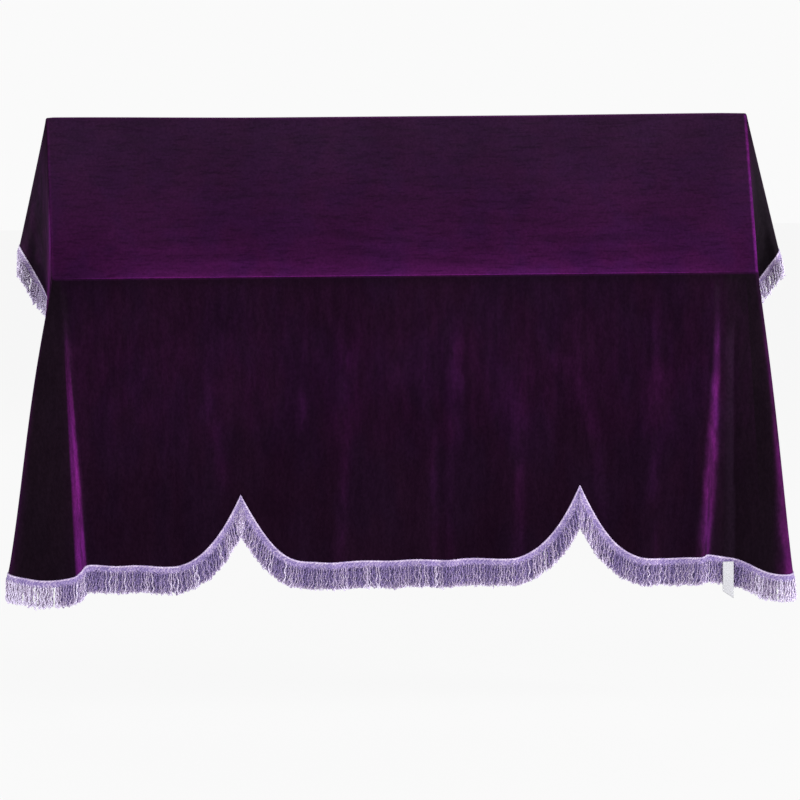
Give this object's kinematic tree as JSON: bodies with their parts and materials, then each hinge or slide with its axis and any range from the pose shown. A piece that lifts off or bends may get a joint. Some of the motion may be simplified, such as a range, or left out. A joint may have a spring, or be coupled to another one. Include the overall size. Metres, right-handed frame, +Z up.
{
  "type": "piano cover",
  "caption": "Fringed velvet cover draped over an upright piano, with a scalloped front hem, flared corner folds and a hollow for the instrument under it.",
  "frame": {"origin": "centre of the underside of the top panel, where the cover rests on the piano's lid", "axes": "+X along the piano's width, to the right seen from the front; the front faces -Y; +Z up"},
  "size_m": [1.6711, 0.7268, 1.0168],
  "materials": {
    "velvet": "deep purple plush velvet, short pile with a bright sheen on the folds",
    "fringe": "lavender rayon fringe with a braided heading, soft shine",
    "label": "white satin ribbon, blank"
  },
  "bodies": {
    "root": {"velvet_cover": "velvet", "fringe_front": "fringe", "fringe_left": "fringe", "fringe_right": "fringe", "care_label": "label"}
  },
  "joints": []
}
